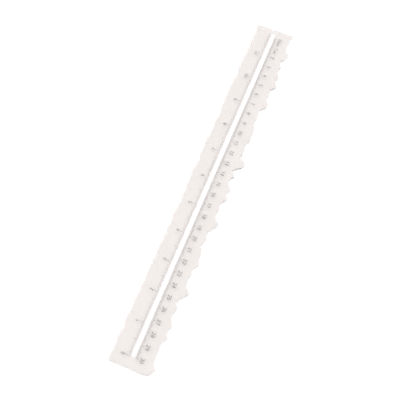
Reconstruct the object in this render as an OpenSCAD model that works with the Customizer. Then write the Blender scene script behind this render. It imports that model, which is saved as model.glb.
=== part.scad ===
// Deckle-edge ruler: a clear plate with one coarse and one fine torn-paper edge,
// a long slot down its middle and printed inch and centimetre scales beside the slot.
// Millimetres, +Z up. X runs along the ruler from the inch zero end to the centimetre zero end,
// +Y is the inch side. The origin is the middle of the plate's box, on the underside.

/* [Plate] */
// Overall length of the plate
plate_length = 317; // [316.5:0.5:330]
// Thickness of the clear sheet
plate_thickness = 3.2; // [2:0.1:6]
// How deep the coarse torn edge is cut, as a share of its drawn depth
coarse_edge_depth = 1; // [0.5:0.05:1.2]
// How deep the fine torn edge is cut, as a share of its drawn depth
fine_edge_depth = 1; // [0:0.05:1.5]

/* [Slot] */
// Width of the slot between the two scales
slot_width = 3.9; // [3:0.1:5]
// Length of the slot, from the inch zero
slot_length = 304; // [304:0.5:306]

/* [Scale marks] */
// Width of a printed mark
mark_width = 0.17; // [0.15:0.01:0.3]
// Clear gap between the slot's edge and the marks
mark_gap = 0.3; // [0:0.05:0.4]
// Thickness of the printed ink
ink_thickness = 0.05; // [0.03:0.01:0.2]
// Length of a whole inch mark
inch_mark = 3.6; // [3:0.1:3.8]
// Length of a half inch mark
half_inch_mark = 2.6; // [2:0.1:3.2]
// Length of a quarter inch mark
quarter_inch_mark = 2.2; // [1.6:0.1:2.8]
// Length of an eighth inch mark
eighth_inch_mark = 1.8; // [1.4:0.1:2.4]
// Length of a sixteenth inch mark
sixteenth_inch_mark = 1.3; // [1:0.1:2]
// Length of a whole centimetre mark
centimetre_mark = 2.9; // [2.4:0.1:3]
// Length of a half centimetre mark
half_centimetre_mark = 2.2; // [1.8:0.1:2.6]
// Length of a millimetre mark
millimetre_mark = 1.5; // [1:0.1:2]

/* [Numerals] */
// Height of the inch numerals
inch_numeral_height = 2.7; // [2.4:0.1:3]
// Height of the centimetre numerals
centimetre_numeral_height = 2.9; // [2.6:0.1:3.2]
// Line width of the numerals, as a share of their height
numeral_weight = 0.1; // [0.08:0.01:0.16]
// Distance from the slot's centre line to the middle of the inch numerals
inch_numeral_row = 7.5; // [7.5:0.1:9]
// Distance from the slot's centre line to the middle of the centimetre numerals
centimetre_numeral_row = 7.5; // [7.5:0.1:8.5]
// Height of the small letters in the unit labels
unit_label_height = 1.5; // [1.2:0.1:2]

/* [View] */
// Colour of the printed ink
ink_colour = "dimgray"; // ["dimgray", "black", "navy", "darkred"]
// Which part to draw

/* [Hidden] */

metric_length = 300;
inch = 25.4;
inch_steps = 191;                    // sixteenths that have slot beside them, counted from zero
scale_start = -metric_length / 2;    // inch zero
scale_end = metric_length / 2;       // centimetre zero
end_margin = (plate_length - metric_length) / 2;
eps = 1;

// Mean distance of each torn edge from the slot's centre line.
coarse_mean = 16.5;
fine_mean = 15.6;

// The coarse torn edge, as [distance from the inch zero, distance from the slot's centre line].
// Teeth fall slowly towards their tip and come back steeply, like paper torn against a straight-edge.
coarse_teeth = [
    [-7.2, 15.7], [-4.5, 17.6], [-2.5, 18.3], [-1, 17.7], [0.5, 16.2], [2.5, 15.4],
    [7, 15.2], [12, 15.1], [16, 15], [18.2, 15.8], [20.3, 17.3], [21.6, 18.4],
    [22.7, 17], [24.3, 15.7], [26.5, 16], [29, 17], [30.3, 17.8], [33, 16.7],
    [35.5, 15.2], [37.5, 14.5], [40, 14.7], [42.3, 15.5], [44.3, 16.3], [46, 15.3],
    [47.5, 13.9], [49.5, 13.4], [51.5, 14.5], [53.5, 16.3], [55.8, 18.4], [57.8, 20],
    [59.5, 18.9], [61.5, 16.4], [63.5, 15.2], [66.5, 14.8], [69, 14.8], [71.3, 15.4],
    [73.5, 15.9], [75.5, 15], [77.3, 15.2], [79.2, 16.6], [81.2, 18.2], [83.5, 17.6],
    [85.5, 16.8], [88, 16.3], [91, 16.3], [93.5, 15.8], [95, 14.5], [96.5, 13.6],
    [98.3, 14.1], [100.3, 15.3], [102.8, 16.1], [105.5, 15.1], [108, 14.3], [110, 14.9],
    [112, 16.5], [114, 18.1], [116, 19.5], [118.3, 20.1], [119.3, 18.6], [120.3, 16.9],
    [122.5, 15.8], [125, 14.9], [127.8, 15.3], [130.2, 15.9], [132.5, 15.2], [134.5, 15],
    [136.5, 15.9], [138.5, 17.4], [140.4, 19], [142, 17.6], [143.4, 16.4], [145.3, 16.4],
    [147.2, 17.6], [148.7, 18.3], [150.5, 16.6], [152.5, 15.1], [154.3, 14.4], [157.3, 14.6],
    [159.3, 15.5], [161, 17], [162.8, 15.6], [164.2, 14], [165.8, 13.7], [167.8, 15.3],
    [169.2, 17.2], [170.7, 19.4], [172.6, 20.7], [174.8, 21.2], [176.3, 19.5], [177.5, 16.7],
    [179, 15.1], [180.5, 15.3], [182.3, 16.5], [184.5, 15.7], [187, 15.9], [190, 15.2],
    [193, 15.6], [195, 17], [197.5, 17.7], [200.5, 16.7], [203, 16.8], [205.5, 17.5],
    [208, 16.8], [210.5, 15.6], [213, 14.9], [216, 14.9], [218.5, 15.6], [221.5, 15.1],
    [225, 14.6], [227.2, 15.4], [229.3, 17.1], [231.7, 19], [234.5, 19.5], [236, 18.3],
    [237.8, 16.7], [239.8, 16.3], [242, 16.6], [244.5, 17], [247, 16.1], [249.2, 16.8],
    [250.8, 18.1], [252.4, 19.8], [253.9, 20.5], [255.2, 19.1], [256.8, 17.6], [259, 17.5],
    [261.3, 18.5], [263.4, 19.1], [265.6, 17.7], [267.6, 15.8], [269.3, 15.5], [271.3, 16.5],
    [273.8, 17.5], [275.6, 16.2], [277.6, 15], [279.5, 15.1], [281.6, 16.4], [283.7, 18.1],
    [285.4, 19.8], [286.9, 20.2], [288.7, 18.6], [290.5, 16.4], [293, 15.4], [297, 15],
    [301, 15.4], [305, 16.3]];
coarse_near_corner = 14.5;
coarse_far_corner = 16.6;

// The fine torn edge, drawn the same way.
fine_teeth = [
    [-5, 15.6], [-2, 15.7], [1, 15.2], [4, 15.4], [6, 15], [8, 15.7], [10.5, 16],
    [13, 15.6], [14.5, 15.1], [19.5, 14.9], [21.5, 15.7], [24.5, 16], [28, 15.7],
    [32, 15.2], [37, 15.6], [41, 15.8], [43, 15.4], [47, 15.1], [50, 15.5], [56, 15],
    [61, 15.5], [66, 15.6], [68, 15.4], [69.5, 14.5], [71.5, 15.6], [76, 14.8], [79, 15.4],
    [82, 15.8], [85, 15.4], [87, 15.8], [90, 14.6], [92, 15.3], [97, 14.7], [99, 15.7],
    [101, 15.8], [103.2, 14.7], [108, 15.1], [111, 15.7], [116, 15.8], [119, 14.9],
    [123, 15], [126.5, 14.3], [130, 15.7], [132, 14.9], [137, 15.2], [140, 15.9],
    [143, 15.6], [149, 15.6], [155, 15.8], [157, 15.3], [160, 15.6], [164.6, 14.4],
    [168, 15.7], [170, 16], [171.7, 15.4], [173.5, 15.7], [176, 15.5], [178.5, 16], [187, 15.8],
    [188.5, 15.3], [194, 15.1], [201, 15.5], [205, 15.8], [207, 15.1], [212, 14.9],
    [215, 15.5], [219.5, 15.8], [221, 14.9], [223, 15.7], [228, 16.1], [234, 15.9],
    [239.5, 16.4], [242, 16], [245, 15.7], [248, 15.8], [254, 15], [257, 15.9],
    [259, 16.1], [261, 15.8], [266, 16.3], [269, 15.6], [271, 16.3], [273, 15.7],
    [279, 15.5], [282, 15.2], [286, 15], [290, 16.1], [291.3, 15.4], [294, 15.8],
    [297, 15.5], [300.5, 15.2], [303, 15.9], [306, 16.2]];
fine_near_corner = 15.5;
fine_far_corner = 16;

// ---- outline ----

function deepen(teeth, mean, share) = [for (t = teeth) [t[0], mean + (t[1] - mean) * share]];

// Cuts each corner of an open line once, so the teeth are round rather than pointed.
function soften(p, k = 0.2) = [for (i = [0 : len(p) - 1])
    each (i == 0 || i == len(p) - 1) ? [p[i]]
        : [p[i] + k * (p[i - 1] - p[i]), p[i] + k * (p[i + 1] - p[i])]];

coarse_edge = soften(concat([[-end_margin, coarse_near_corner]],
    deepen(coarse_teeth, coarse_mean, coarse_edge_depth),
    [[metric_length + end_margin, coarse_far_corner]]));
fine_edge = concat([[-end_margin, fine_near_corner]],
    deepen(fine_teeth, fine_mean, fine_edge_depth),
    [[metric_length + end_margin, fine_far_corner]]);

coarse_reach = max([for (p = coarse_edge) p[1]]);
fine_reach = max([for (p = fine_edge) p[1]]);
slot_y = (coarse_reach - fine_reach) / 2;    // puts the middle of the plate's box on the origin

plate_outline = concat(
    [for (p = coarse_edge) [scale_start + p[0], slot_y - p[1]]],
    [for (i = [len(fine_edge) - 1 : -1 : 0]) [scale_start + fine_edge[i][0], slot_y + fine_edge[i][1]]]);

// ---- strokes for the numerals, drawn in a box one unit high ----

digit_w = 0.6;
digit_pitch = 0.76;
arc_steps = 10;

function unit(v) = v / norm(v);
function side(a, b) = let (d = unit(b - a)) [-d[1], d[0]];
function arc(cx, cy, rx, ry, a0, a1, n = arc_steps) =
    [for (i = [0 : n]) let (a = a0 + (a1 - a0) * i / n) [cx + rx * cos(a), cy + ry * sin(a)]];
function loop(cx, cy, rx, ry, n) =
    [for (i = [0 : n - 1]) [cx + rx * cos(360 * i / n), cy + ry * sin(360 * i / n)]];

// A point of the line's edge, a distance o to its left, with a limit on the mitre.
function beside(p, i, o) = let (
        n = len(p),
        n1 = i > 0 ? side(p[i - 1], p[i]) : side(p[0], p[1]),
        n2 = i < n - 1 ? side(p[i], p[i + 1]) : side(p[n - 2], p[n - 1]),
        m = n1 + n2, l = norm(m))
    p[i] + m / l * o * min(2 / l, 2.6);
function outline(p, w) = concat(
    [for (i = [0 : len(p) - 1]) beside(p, i, -w / 2)],
    [for (i = [len(p) - 1 : -1 : 0]) beside(p, i, w / 2)]);

module stroke(p, w) { polygon(outline(p, w)); }

module ring(cx, cy, rx, ry, w, n = 16) {
    polygon(concat(loop(cx, cy, rx + w / 2, ry + w / 2, n), loop(cx, cy, rx - w / 2, ry - w / 2, n)),
        [[for (i = [0 : n - 1]) i], [for (i = [0 : n - 1]) n + i]]);
}

// One digit, with its lower left corner on the origin.
module digit(d, w) {
    l = w / 2; r = digit_w - w / 2; b = w / 2; t = 1 - w / 2; c = digit_w / 2;
    rx = r - c;
    if (d == 0) ring(c, 0.5, rx, t - 0.5, w, 20);
    if (d == 1) {
        stroke([[c + 0.05, 0], [c + 0.05, 1]], w);
        stroke([[l + 0.05, t - 0.2], [c + 0.05, t - 0.03]], w);
    }
    if (d == 2) stroke(concat(arc(c, t - rx, rx, rx, 165, -35), [[l + 0.04, b], [r + w / 2, b]]), w);
    if (d == 3) {
        stroke(arc(c, t - 0.21, rx - 0.01, 0.21, 155, -90), w);
        stroke(arc(c, b + 0.225, rx, 0.225, 90, -155), w);
    }
    if (d == 4) {
        stroke([[r - 0.1, 0], [r - 0.1, t + w / 4]], w);
        stroke([[r - 0.1, t], [l, 0.31], [r + w / 2, 0.31]], w);
    }
    if (d == 5) stroke(concat([[r, t], [l + 0.05, t], [l + 0.02, 0.53]], arc(c - 0.01, b + 0.25, rx, 0.25, 115, -150)), w);
    if (d == 6 || d == 9) translate(d == 9 ? [digit_w, 1] : [0, 0]) rotate(d == 9 ? 180 : 0) {
        ring(c, b + 0.23, rx, 0.23, w);
        stroke(arc(c + 0.19, b + 0.25, rx + 0.19, t - b - 0.25, 180, 100, 7), w);
    }
    if (d == 7) stroke([[0, t], [r - 0.02, t], [c - 0.08, 0]], w);
    if (d == 8) {
        ring(c, b + 0.235, rx, 0.235, w);
        ring(c, t - 0.2, rx - 0.03, 0.2, w);
    }
}

// A number of one or two digits, centred on the origin.
module number(n, height) {
    tens = floor(n / 10);
    count = tens > 0 ? 2 : 1;
    span = digit_w + (count - 1) * digit_pitch;
    scale([height, height, 1]) translate([-span / 2, -0.5]) {
        if (tens > 0) digit(tens, numeral_weight);
        translate([(count - 1) * digit_pitch, 0]) digit(n % 10, numeral_weight);
    }
}

// ---- printed marks ----

// Puts its children on the plate's top face, x along the ruler from the inch zero and y from the slot's centre line.
module printed() {
    color(ink_colour) translate([scale_start, slot_y, plate_thickness]) children();
}

mark_start = slot_width / 2 + mark_gap;

// Inch marks: every sixteenth from first, step apart, up to last.
module inch_marks(length, first, step, last) {
    printed() for (i = [first : step : last])
        translate([i * inch / 16 - mark_width / 2, mark_start, 0])
            cube([mark_width, length, ink_thickness]);
}

// Centimetre marks, counted back from the far end, on the other side of the slot.
module metric_marks(length, first, step, last) {
    printed() for (i = [first : step : last])
        translate([metric_length - i - mark_width / 2, -mark_start - length, 0])
            cube([mark_width, length, ink_thickness]);
}

module millimetre_marks() {
    // the nine places after each centimetre, but for the half
    printed() for (cm = [0 : 29], i = [1, 2, 3, 4, 6, 7, 8, 9])
        translate([metric_length - 10 * cm - i - mark_width / 2, -mark_start - millimetre_mark, 0])
            cube([mark_width, millimetre_mark, ink_thickness]);
}

module whole_inch_marks() { inch_marks(inch_mark, 0, 16, inch_steps); }
module half_inch_marks() { inch_marks(half_inch_mark, 8, 16, inch_steps); }
module quarter_inch_marks() { inch_marks(quarter_inch_mark, 4, 8, inch_steps); }
module eighth_inch_marks() { inch_marks(eighth_inch_mark, 2, 4, inch_steps); }
module sixteenth_inch_marks() { inch_marks(sixteenth_inch_mark, 1, 2, inch_steps); }
module whole_centimetre_marks() { metric_marks(centimetre_mark, 0, 10, metric_length); }
module half_centimetre_marks() { metric_marks(half_centimetre_mark, 5, 10, metric_length); }

module inch_numerals() {
    printed() for (n = [0 : 11])
        translate([n * inch, inch_numeral_row, 0])
            linear_extrude(ink_thickness) number(n, inch_numeral_height);
}

// The centimetre scale reads with its own zero on the left, so its numerals are turned round.
module centimetre_numerals() {
    printed() for (n = [0 : 30])
        translate([metric_length - 10 * n, -centimetre_numeral_row, 0]) rotate(180)
            linear_extrude(ink_thickness) number(n, centimetre_numeral_height);
}

// One small letter of a unit label, with its lower left corner on the origin.
module letter_c(w) { stroke(arc(0.42, 0.5, 0.42 - w / 2, 0.5 - w / 2, 50, 310), w); }
module letter_m(w) {
    h = w / 2;
    stroke([[h, 0], [h, 1]], w);
    stroke(concat(arc(0.3 + h, 0.7 - h, 0.3, 0.3, 160, 0, 6), [[0.6 + h, 0]]), w);
    stroke(concat(arc(0.9 + h, 0.7 - h, 0.3, 0.3, 160, 0, 6), [[1.2 + h, 0]]), w);
}

// Puts a unit label after a centimetre numeral, its feet in line with the numeral's.
module after_numeral(n) {
    start = metric_length - 10 * n - 0.3 * centimetre_numeral_height - 0.7;
    printed()
        translate([start, centimetre_numeral_height / 2 - centimetre_numeral_row, 0]) rotate(180)
            linear_extrude(ink_thickness) scale([unit_label_height, unit_label_height, 1]) children();
}

label_weight = 0.16;

// The letters m and m after the zero.
module millimetre_unit_label() {
    after_numeral(0) {
        letter_m(label_weight);
        translate([1.75, 0]) letter_m(label_weight);
    }
}

// The letters c and m after the one.
module centimetre_unit_label() {
    after_numeral(1) {
        letter_c(label_weight);
        translate([1.05, 0]) letter_m(label_weight);
    }
}

// ---- plate ----

module ruler_plate() {
    color([0.9, 0.92, 0.92, 0.45]) difference() {
        linear_extrude(plate_thickness) polygon(plate_outline);
        translate([scale_start, slot_y - slot_width / 2, -eps])
            cube([slot_length, slot_width, plate_thickness + 2 * eps]);
    }
}

ruler_plate();
whole_inch_marks();
half_inch_marks();
quarter_inch_marks();
eighth_inch_marks();
sixteenth_inch_marks();
inch_numerals();
whole_centimetre_marks();
half_centimetre_marks();
millimetre_marks();
centimetre_numerals();
millimetre_unit_label();
centimetre_unit_label();
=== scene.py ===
"""Deckle-edge ruler: a clear acrylic plate with two torn edges, a centre slot and printed scales, lying on white."""

import math

import bpy
from mathutils import Matrix, Vector
from mathutils.geometry import tessellate_polygon


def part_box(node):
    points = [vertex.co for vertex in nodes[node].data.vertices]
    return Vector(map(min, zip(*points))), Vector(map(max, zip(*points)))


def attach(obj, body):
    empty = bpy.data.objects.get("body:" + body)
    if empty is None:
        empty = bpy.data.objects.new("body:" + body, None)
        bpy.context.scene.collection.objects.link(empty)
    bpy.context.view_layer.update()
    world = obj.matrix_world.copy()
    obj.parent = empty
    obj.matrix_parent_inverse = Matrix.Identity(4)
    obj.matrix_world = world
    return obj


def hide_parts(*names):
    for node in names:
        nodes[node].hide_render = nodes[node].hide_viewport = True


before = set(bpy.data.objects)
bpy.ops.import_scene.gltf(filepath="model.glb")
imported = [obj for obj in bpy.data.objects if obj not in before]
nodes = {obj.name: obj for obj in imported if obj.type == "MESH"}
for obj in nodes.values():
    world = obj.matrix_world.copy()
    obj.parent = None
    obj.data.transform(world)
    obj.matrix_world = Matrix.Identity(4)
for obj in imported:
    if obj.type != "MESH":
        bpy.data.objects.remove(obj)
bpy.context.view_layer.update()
scene = bpy.context.scene
MM = 0.001

# ---------------------------------------------------------------- camera
# A viewpoint nearly half a metre above the table, past the inch zero end and a little to the centimetre side.
camera_data = bpy.data.cameras.new("camera")
camera_data.sensor_fit = "HORIZONTAL"
camera_data.sensor_width = 36.0
camera_data.lens = 57.6
camera_data.clip_start = 0.01
camera_data.clip_end = 20.0
camera = bpy.data.objects.new("camera", camera_data)
scene.collection.objects.link(camera)
right = Vector((0.375118, -0.926812, 0.017482))
back = Vector((-0.355541, -0.126433, 0.92607)).normalized()
up = back.cross(right).normalized()
right = up.cross(back)
pose = Matrix((right, up, back)).transposed().to_4x4()
pose.translation = Vector((-0.198903, -0.060962, 0.473337))
camera.matrix_world = pose
scene.camera = camera


# ---------------------------------------------------------------- material helpers
def new_material(name):
    material = bpy.data.materials.new(name)
    material.use_nodes = True
    tree = material.node_tree
    for n in list(tree.nodes):
        tree.nodes.remove(n)
    out = tree.nodes.new("ShaderNodeOutputMaterial")
    shader = tree.nodes.new("ShaderNodeBsdfPrincipled")
    tree.links.new(shader.outputs["BSDF"], out.inputs["Surface"])
    return material, tree, shader


def add(tree, kind, inputs=None, **settings):
    n = tree.nodes.new(kind)
    for key, value in settings.items():
        setattr(n, key, value)
    for key, value in (inputs or {}).items():
        if isinstance(value, bpy.types.NodeSocket):
            tree.links.new(value, n.inputs[key])
        else:
            n.inputs[key].default_value = value
    return n


def ramp(tree, factor, stops):
    n = tree.nodes.new("ShaderNodeValToRGB")
    tree.links.new(factor, n.inputs["Fac"])
    elements = n.color_ramp.elements
    while len(elements) < len(stops):
        elements.new(0.5)
    for element, (at, colour) in zip(elements, stops):
        element.position = at
        element.color = (*colour, 1.0) if len(colour) == 3 else colour
    return n.outputs["Color"]


def acrylic(name, roughness, streak):
    """Clear cast sheet: faint rub marks and a slow unevenness that only its gloss shows."""
    material, tree, shader = new_material(name)
    place = add(tree, "ShaderNodeTexCoord").outputs["Object"]
    shader.inputs["IOR"].default_value = 1.49
    shader.inputs["Transmission Weight"].default_value = 1.0
    # colour: very slightly warm, with a faint cloudiness
    cloud = add(tree, "ShaderNodeTexNoise", {"Vector": place, "Scale": 45.0, "Detail": 3.0, "Roughness": 0.55})
    tint = ramp(tree, cloud.outputs["Fac"], [(0.3, (0.873, 0.847, 0.834)), (0.7, (0.885, 0.859, 0.846))])
    tree.links.new(tint, shader.inputs["Base Color"])
    # gloss: smudges from handling, and hairlines that run along the ruler where tools are drawn
    smudge = add(tree, "ShaderNodeTexNoise", {"Vector": place, "Scale": 60.0, "Detail": 5.0, "Roughness": 0.6})
    drawn = add(tree, "ShaderNodeMapping", {"Vector": place, "Scale": (40.0, 2600.0, 2600.0)})
    hair = add(tree, "ShaderNodeTexNoise", {"Vector": drawn.outputs["Vector"], "Scale": 1.0, "Detail": 2.0, "Roughness": 0.5})
    lines = add(tree, "ShaderNodeMapRange", {"Value": hair.outputs["Fac"], "From Min": 0.62, "From Max": 0.78, "To Min": 0.0, "To Max": 1.0})
    patches = add(tree, "ShaderNodeMapRange", {"Value": smudge.outputs["Fac"], "From Min": 0.4, "From Max": 0.75, "To Min": roughness, "To Max": roughness + 0.05})
    rough = add(tree, "ShaderNodeMath", {0: lines.outputs["Result"], 1: streak, 2: patches.outputs["Result"]}, operation="MULTIPLY_ADD")
    tree.links.new(rough.outputs["Value"], shader.inputs["Roughness"])
    wave = add(tree, "ShaderNodeTexNoise", {"Vector": place, "Scale": 70.0, "Detail": 1.0, "Roughness": 0.4})
    height = add(tree, "ShaderNodeMath", {0: lines.outputs["Result"], 1: -0.02, 2: wave.outputs["Fac"]}, operation="MULTIPLY_ADD")
    bump = add(tree, "ShaderNodeBump", {"Height": height.outputs["Value"], "Strength": 0.12, "Distance": 0.0001})
    tree.links.new(bump.outputs["Normal"], shader.inputs["Normal"])
    return material


def cut_wall(name):
    """The sawn and flame-polished walls: vertical tool chatter over a glossy, slightly rippled surface."""
    material, tree, shader = new_material(name)
    place = add(tree, "ShaderNodeTexCoord").outputs["Object"]
    shader.inputs["IOR"].default_value = 1.49
    shader.inputs["Transmission Weight"].default_value = 1.0
    chatter = add(tree, "ShaderNodeMapping", {"Vector": place, "Scale": (2200.0, 2200.0, 120.0)})
    marks = add(tree, "ShaderNodeTexNoise", {"Vector": chatter.outputs["Vector"], "Scale": 1.0, "Detail": 3.0, "Roughness": 0.6})
    tint = ramp(tree, marks.outputs["Fac"], [(0.3, (0.86, 0.835, 0.82)), (0.7, (0.91, 0.885, 0.87))])
    tree.links.new(tint, shader.inputs["Base Color"])
    rough = add(tree, "ShaderNodeMapRange", {"Value": marks.outputs["Fac"], "From Min": 0.3, "From Max": 0.7, "To Min": 0.06, "To Max": 0.2})
    tree.links.new(rough.outputs["Result"], shader.inputs["Roughness"])
    bump = add(tree, "ShaderNodeBump", {"Height": marks.outputs["Fac"], "Strength": 0.35, "Distance": 0.00008})
    tree.links.new(bump.outputs["Normal"], shader.inputs["Normal"])
    return material


def ink(name, dark, light, grain):
    """Screen-printed ink: a grainy film with thin spots and a soft sheen."""
    material, tree, shader = new_material(name)
    place = add(tree, "ShaderNodeTexCoord").outputs["Object"]
    body = add(tree, "ShaderNodeTexNoise", {"Vector": place, "Scale": grain, "Detail": 6.0, "Roughness": 0.65})
    colour = ramp(tree, body.outputs["Fac"], [(0.32, (dark,) * 3), (0.6, (light, light * 0.98, light * 0.97)), (0.78, (light * 1.5, light * 1.47, light * 1.45))])
    tree.links.new(colour, shader.inputs["Base Color"])
    rough = add(tree, "ShaderNodeMapRange", {"Value": body.outputs["Fac"], "From Min": 0.3, "From Max": 0.7, "To Min": 0.42, "To Max": 0.62})
    tree.links.new(rough.outputs["Result"], shader.inputs["Roughness"])
    pits = add(tree, "ShaderNodeTexNoise", {"Vector": place, "Scale": grain * 4.0, "Detail": 2.0, "Roughness": 0.5})
    bump = add(tree, "ShaderNodeBump", {"Height": pits.outputs["Fac"], "Strength": 0.3, "Distance": 0.00003})
    tree.links.new(bump.outputs["Normal"], shader.inputs["Normal"])
    shader.inputs["Specular IOR Level"].default_value = 0.4
    return material


# ---------------------------------------------------------------- the clear plate
# The CAD plate's outline, carried through a smooth curve, with its sharp rims broken as a real sheet's are.
RIM = 0.18 * MM      # radius of the broken rim
RIM_STEPS = 4
STEP = 0.45 * MM     # spacing along the torn edges
low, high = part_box("ruler_plate")


def rim_loops(mesh, height):
    """The closed outlines of the mesh's flat face at that height, as lists of (x, y)."""
    def name(v):
        co = mesh.vertices[v].co
        return (round(co.x * 1e6), round(co.y * 1e6))
    after = {}
    for p in mesh.polygons:
        if all(abs(mesh.vertices[v].co.z - height) < 1e-6 for v in p.vertices):
            ids = [name(v) for v in p.vertices]
            for a, b in zip(ids, ids[1:] + ids[:1]):
                if a != b:
                    after[(a, b)] = True
    outer = {a: b for (a, b) in after if (b, a) not in after}
    loops = []
    while outer:
        start, there = next(iter(outer.items()))
        loop = [start]
        del outer[start]
        while there != start:
            loop.append(there)
            there = outer.pop(there)
        loops.append([(x * 1e-6, y * 1e-6) for x, y in loop])
    return loops


def area(loop):
    return 0.5 * sum(a[0] * b[1] - b[0] * a[1] for a, b in zip(loop, loop[1:] + loop[:1]))


def curve_through(points, step):
    """Points at about that spacing on a centripetal Catmull-Rom curve through the given open line."""
    p = [Vector(q) for q in points]
    p = [2 * p[0] - p[1]] + p + [2 * p[-1] - p[-2]]
    out = []
    for i in range(1, len(p) - 2):
        a, b, c, d = p[i - 1:i + 3]
        t0 = 0.0
        t1 = t0 + max((b - a).length, 1e-9) ** 0.5
        t2 = t1 + max((c - b).length, 1e-9) ** 0.5
        t3 = t2 + max((d - c).length, 1e-9) ** 0.5
        count = max(1, round((c - b).length / step))
        for k in range(count):
            t = t1 + (t2 - t1) * k / count
            ab = ((t1 - t) * a + (t - t0) * b) / (t1 - t0)
            bc = ((t2 - t) * b + (t - t1) * c) / (t2 - t1)
            cd = ((t3 - t) * c + (t - t2) * d) / (t3 - t2)
            abc = ((t2 - t) * ab + (t - t0) * bc) / (t2 - t0)
            bcd = ((t3 - t) * bc + (t - t1) * cd) / (t3 - t1)
            out.append(((t2 - t) * abc + (t - t1) * bcd) / (t2 - t1))
    out.append(p[-2])
    return out


def rounded_corner(before, corner, after, radius, steps=4):
    """The points of a small round between two straight sides."""
    u = (Vector(before) - Vector(corner)).normalized()
    v = (Vector(after) - Vector(corner)).normalized()
    a, b, c = Vector(corner) + u * radius, Vector(corner), Vector(corner) + v * radius
    return [(1 - t) ** 2 * a + 2 * t * (1 - t) * b + t * t * c for t in [k / steps for k in range(steps + 1)]]


def smooth_outline(loop):
    """The plate's outer outline: straight ends, curved torn sides, slightly rounded corners."""
    n = len(loop)
    corner = [i for i in range(n) if min(abs(loop[i][0] - low.x), abs(loop[i][0] - high.x)) < 1e-6]
    # turn the list so that it starts at the first corner of the far end, going up it
    first = next(i for i in corner if abs(loop[i][0] - high.x) < 1e-6 and abs(loop[(i + 1) % n][0] - high.x) < 1e-6)
    loop = loop[first:] + loop[:first]
    far_top = 1
    near_top = next(i for i in range(n) if abs(loop[i][0] - low.x) < 1e-6)
    near_bottom = near_top + 1
    fine = curve_through(loop[far_top:near_top + 1], STEP)
    coarse = curve_through(loop[near_bottom:] + loop[:1], STEP)
    radius = 0.5 * MM
    trim = 2
    out = []
    for here, following in ((fine, coarse), (coarse, fine)):
        out += here[trim:-trim]
        out += rounded_corner(here[-trim - 1], here[-1], following[0], radius)
        out += rounded_corner(here[-1], following[0], following[trim], radius)
    return out


def smooth_slot(loop):
    """The slot, with the small rounds that a cutter leaves in its corners."""
    n = len(loop)
    sharp = []
    for i in range(n):
        a, b, c = Vector(loop[i - 1]), Vector(loop[i]), Vector(loop[(i + 1) % n])
        if abs((b - a).normalized().dot((c - b).normalized())) < 0.9:
            sharp.append(loop[i])
    out = []
    m = len(sharp)
    for i in range(m):
        out += rounded_corner(sharp[i - 1], sharp[i], sharp[(i + 1) % m], 0.45 * MM)
        # points along the straight sides, so that no wall face is very long
        a, b = Vector(sharp[i]), Vector(sharp[(i + 1) % m])
        count = int((b - a).length / (4 * MM))
        out += [a.lerp(b, k / count) for k in range(1, count)] if count > 1 else []
    return out


def inset(loop, distance):
    """The loop moved to its left, which is into the material for an outline that runs round it anticlockwise."""
    out = []
    n = len(loop)
    for i in range(n):
        a, b, c = loop[i - 1], loop[i], loop[(i + 1) % n]
        u, v = (b - a).normalized(), (c - b).normalized()
        m = Vector((-u.y - v.y, u.x + v.x))
        m = m / max(m.length_squared, 0.5) * 2
        out.append(b + m * distance)
    return out


def build_plate():
    loops = sorted(rim_loops(nodes["ruler_plate"].data, high.z), key=lambda l: -abs(area(l)))
    if len(loops) != 2:
        raise RuntimeError("the plate's top face should have an outline and one slot")
    outer, slot = loops
    outer = outer if area(outer) > 0 else outer[::-1]
    slot = slot if area(slot) < 0 else slot[::-1]
    rings = [smooth_outline(outer), smooth_slot(slot)]
    profile = []
    for k in range(RIM_STEPS + 1):
        a = math.pi / 2 * k / RIM_STEPS
        profile.append((RIM * (1 - math.sin(a)), low.z + RIM * (1 - math.cos(a))))
    profile += [(x, low.z + high.z - z) for x, z in reversed(profile)]
    verts, faces, kinds = [], [], []
    caps = []
    for ring in rings:
        start = len(verts)
        n = len(ring)
        for distance, z in profile:
            verts += [(p.x, p.y, z) for p in (inset(ring, distance) if distance > 1e-9 else ring)]
        for row in range(len(profile) - 1):
            for i in range(n):
                a, b = start + row * n + i, start + row * n + (i + 1) % n
                faces.append((a, b, b + n, a + n))
                kinds.append(1)
        caps.append((start, start + (len(profile) - 1) * n, n))
    for level in (0, 1):
        polygons = [[Vector(verts[c[level] + i]) for i in range(c[2])] for c in caps]
        ids = [c[level] + i for c in caps for i in range(c[2])]
        for t in tessellate_polygon(polygons):
            a, b, c = (ids[k] for k in t)
            pa, pb, pc = (Vector(verts[k]) for k in (a, b, c))
            up_facing = (pb - pa).cross(pc - pa).z > 0
            faces.append((a, b, c) if up_facing == bool(level) else (a, c, b))
            kinds.append(0)
    mesh = bpy.data.meshes.new("clear_plate")
    mesh.from_pydata(verts, [], faces)
    for polygon, kind in zip(mesh.polygons, kinds):
        polygon.material_index = kind
        polygon.use_smooth = bool(kind)
    mesh.validate()
    mesh.update()
    plate = bpy.data.objects.new("clear_plate", mesh)
    scene.collection.objects.link(plate)
    plate.data.materials.append(acrylic("clear_acrylic_face", 0.01, 0.05))
    plate.data.materials.append(cut_wall("clear_acrylic_wall"))
    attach(plate, "root")
    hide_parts("ruler_plate")
    return plate


plate = build_plate()

# ---------------------------------------------------------------- the printed ink
mark_ink = ink("mark_ink", 0.13, 0.18, 900.0)
numeral_ink = ink("numeral_ink", 0.10, 0.14, 700.0)
for name, part in nodes.items():
    if name == "ruler_plate":
        continue
    part.data.materials.clear()
    part.data.materials.append(numeral_ink if "numerals" in name or "label" in name else mark_ink)


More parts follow.
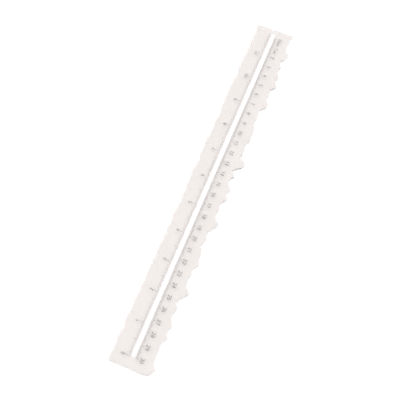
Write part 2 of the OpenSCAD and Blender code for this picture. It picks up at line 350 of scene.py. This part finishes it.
# ---------------------------------------------------------------- floor and light
def floor_material():
    material, tree, shader = new_material("white_table")
    place = add(tree, "ShaderNodeTexCoord").outputs["Object"]
    grain = add(tree, "ShaderNodeTexNoise", {"Vector": place, "Scale": 6.0, "Detail": 4.0, "Roughness": 0.5})
    colour = ramp(tree, grain.outputs["Fac"], [(0.3, (0.925, 0.925, 0.925)), (0.7, (0.935, 0.935, 0.935))])
    tree.links.new(colour, shader.inputs["Base Color"])
    shader.inputs["Roughness"].default_value = 0.9
    shader.inputs["Specular IOR Level"].default_value = 0.0
    return material


size = 3.0
floor_mesh = bpy.data.meshes.new("table_top")
floor_z = low.z - 0.00008
floor_mesh.from_pydata([(-size, -size, floor_z), (size, -size, floor_z), (size, size, floor_z), (-size, size, floor_z)], [], [(0, 1, 2, 3)])
floor = bpy.data.objects.new("table_top", floor_mesh)
scene.collection.objects.link(floor)
floor.data.materials.append(floor_material())


def soft_box(name, place, target, width, depth, power, colour=(1.0, 1.0, 1.0)):
    data = bpy.data.lights.new(name, "AREA")
    data.shape = "RECTANGLE"
    data.size, data.size_y = width, depth
    data.energy = power
    data.color = colour
    lamp = bpy.data.objects.new(name, data)
    scene.collection.objects.link(lamp)
    lamp.location = place
    lamp.rotation_euler = (Vector(target) - Vector(place)).to_track_quat("-Z", "Y").to_euler()
    return lamp


# A white studio all round lights the ruler evenly and shows no lamp in its gloss from any side. One broad, faint box
# high behind the camera gives the teeth a little direction.
lean = math.radians(35)
soft_box("high_box", (-8.0 * math.sin(lean), -2.0, 8.0 * math.cos(lean)), (0, 0, 0), 7.0, 7.0, 40.0)

world = bpy.data.worlds.new("studio")
scene.world = world
world.use_nodes = True
background = world.node_tree.nodes["Background"]
background.inputs["Color"].default_value = (1.0, 1.0, 1.0, 1.0)
background.inputs["Strength"].default_value = 1.22

# light that reaches the floor through the clear plate stays sharp and at its full strength
scene.cycles.blur_glossy = 0.0
# and light that the sheet traps between its faces is followed until it leaves
scene.cycles.max_bounces = 96
scene.cycles.glossy_bounces = 80
scene.cycles.transmission_bounces = 80
scene.cycles.diffuse_bounces = 6

scene.view_settings.view_transform = "Standard"
scene.view_settings.look = "None"
scene.view_settings.exposure = 0.0
scene.view_settings.gamma = 1.0
